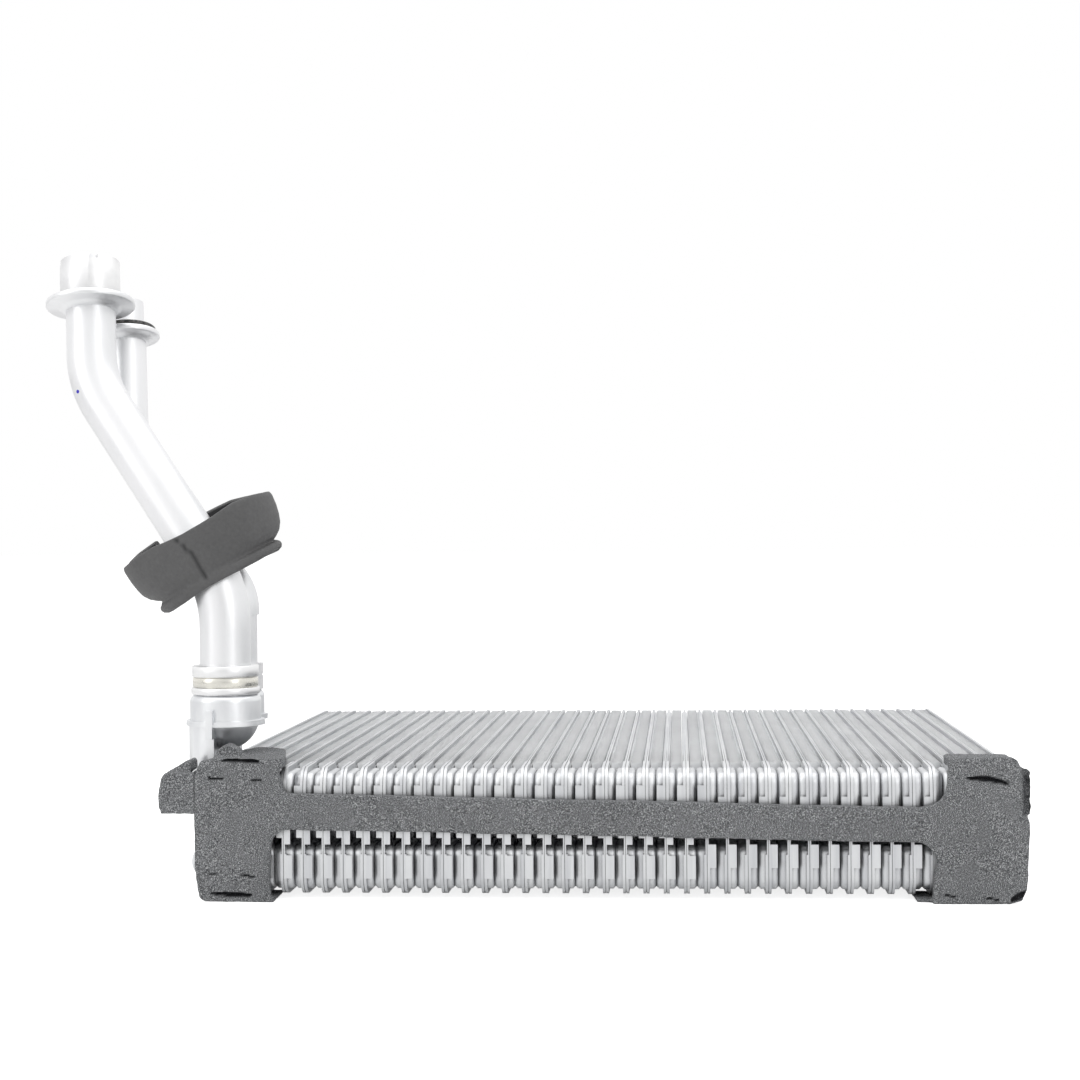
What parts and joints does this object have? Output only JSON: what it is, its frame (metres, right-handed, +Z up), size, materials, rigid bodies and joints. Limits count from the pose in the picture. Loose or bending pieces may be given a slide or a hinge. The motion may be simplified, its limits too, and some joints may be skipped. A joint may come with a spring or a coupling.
{
  "type": "evaporator core",
  "caption": "Brazed evaporator core of flat tubes and folded fins with cup tanks, a side duct, two bent pipes through an oval grommet, and foam seals.",
  "frame": {"origin": "middle of the lower air face of the core, where the edges of the flat tubes end", "axes": "+X across the stack of tubes, away from the pipes; +Y from the tank end to the turn end; +Z up through the core, from the lower to the upper air face"},
  "size_m": [0.3066, 0.2283, 0.2025],
  "materials": {
    "plate_metal": "matt rolled",
    "fin_metal": "matt rolled",
    "duct_metal": "satin",
    "turned_metal": "turned",
    "braze_ring_metal": "stained",
    "pipe_metal": "drawn",
    "black_rubber": "matt",
    "grommet_foam": "fine foam",
    "seal_foam": "speckled foam"
  },
  "bodies": {
    "root": {"tube_01": "plate_metal", "tube_02": "plate_metal", "tube_03": "plate_metal", "tube_04": "plate_metal", "tube_05": "plate_metal", "tube_06": "plate_metal", "tube_07": "plate_metal", "tube_08": "plate_metal", "tube_09": "plate_metal", "tube_10": "plate_metal", "tube_11": "plate_metal", "tube_12": "plate_metal", "tube_13": "plate_metal", "tube_14": "plate_metal", "tube_15": "plate_metal", "tube_16": "plate_metal", "tube_17": "plate_metal", "tube_18": "plate_metal", "tube_19": "plate_metal", "tube_20": "plate_metal", "tube_21": "plate_metal", "tube_22": "plate_metal", "tube_23": "plate_metal", "tube_24": "plate_metal", "tube_25": "plate_metal", "tube_26": "plate_metal", "tube_27": "plate_metal", "tube_28": "plate_metal", "tube_29": "plate_metal", "tube_30": "plate_metal", "tube_31": "plate_metal", "tube_32": "plate_metal", "tube_33": "plate_metal", "tube_34": "plate_metal", "tube_35": "plate_metal", "tube_36": "plate_metal", "tube_37": "plate_metal", "tube_38": "plate_metal", "tube_39": "plate_metal", "fins": "fin_metal", "end_plate_left": "plate_metal", "end_plate_right": "plate_metal", "side_duct": "duct_metal", "duct_inner_shell": "duct_metal", "large_socket_cap": "duct_metal", "small_socket_cap": "duct_metal", "large_lower_ring": "turned_metal", "large_middle_ring": "braze_ring_metal", "large_upper_ring": "turned_metal", "small_collar": "turned_metal", "small_stub": "pipe_metal", "large_pipe": "pipe_metal", "small_pipe": "pipe_metal", "large_pipe_sleeve": "turned_metal", "small_pipe_seal": "black_rubber", "pipe_grommet": "grommet_foam", "foam_wrap": "seal_foam", "foam_pad": "seal_foam"}
  },
  "joints": []
}
